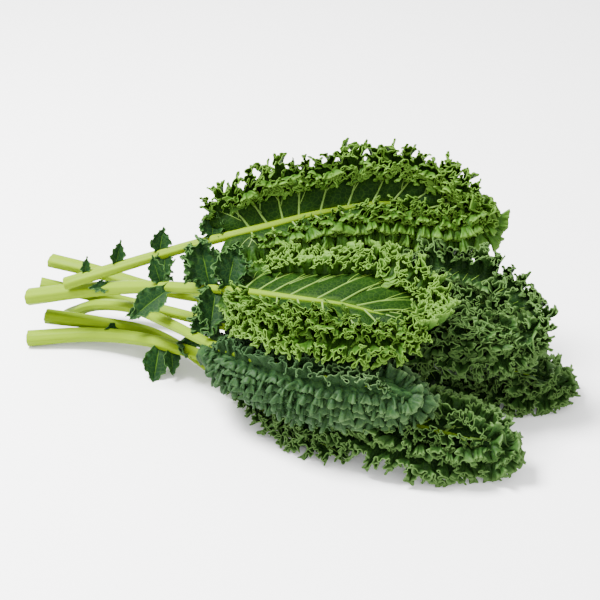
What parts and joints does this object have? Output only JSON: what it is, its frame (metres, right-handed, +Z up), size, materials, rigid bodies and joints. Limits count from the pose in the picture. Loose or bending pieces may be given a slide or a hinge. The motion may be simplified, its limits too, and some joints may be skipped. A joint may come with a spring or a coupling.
{
  "type": "bunch of curly kale",
  "caption": "Bunch of curly kale leaves lying down, pale cut stalks at one end and dark frilled blades fanned out at the other.",
  "frame": {"origin": "on the table, under the middle of the bunch's outer box", "axes": "+X along the bunch, from the cut stalks to the leaf tips; +Z up; -Y towards the side that the picture shows"},
  "size_m": [0.4907, 0.2512, 0.1821],
  "materials": {
    "back_leaf_stalk": "smooth, slightly waxy, pale yellow-green",
    "back_leaf_blade": "matt waxy leaf, dark green",
    "crown_leaf_stalk": "smooth, slightly waxy, pale yellow-green",
    "crown_leaf_blade": "matt waxy leaf, dark green",
    "puckered_leaf_stalk": "smooth, slightly waxy, pale yellow-green",
    "puckered_leaf_blade": "matt waxy leaf, blue-green",
    "right_leaf_stalk": "smooth, slightly waxy, pale yellow-green",
    "right_leaf_blade": "matt waxy leaf, dark green",
    "outer_leaf_stalk": "smooth, slightly waxy, pale yellow-green",
    "outer_leaf_blade": "matt waxy leaf, dark green",
    "floor_leaf_stalk": "smooth, slightly waxy, pale yellow-green",
    "floor_leaf_blade": "matt waxy leaf, dark green",
    "under_leaf_stalk": "smooth, slightly waxy, pale yellow-green",
    "under_leaf_blade": "matt waxy leaf, dark green"
  },
  "bodies": {
    "root": {"back_leaf_stalk": "back_leaf_stalk", "back_leaf_blade": "back_leaf_blade", "crown_leaf_stalk": "crown_leaf_stalk", "crown_leaf_blade": "crown_leaf_blade", "puckered_leaf_stalk": "puckered_leaf_stalk", "puckered_leaf_blade": "puckered_leaf_blade", "right_leaf_stalk": "right_leaf_stalk", "right_leaf_blade": "right_leaf_blade", "outer_leaf_stalk": "outer_leaf_stalk", "outer_leaf_blade": "outer_leaf_blade", "floor_leaf_stalk": "floor_leaf_stalk", "floor_leaf_blade": "floor_leaf_blade", "under_leaf_stalk": "under_leaf_stalk", "under_leaf_blade": "under_leaf_blade"}
  },
  "joints": []
}
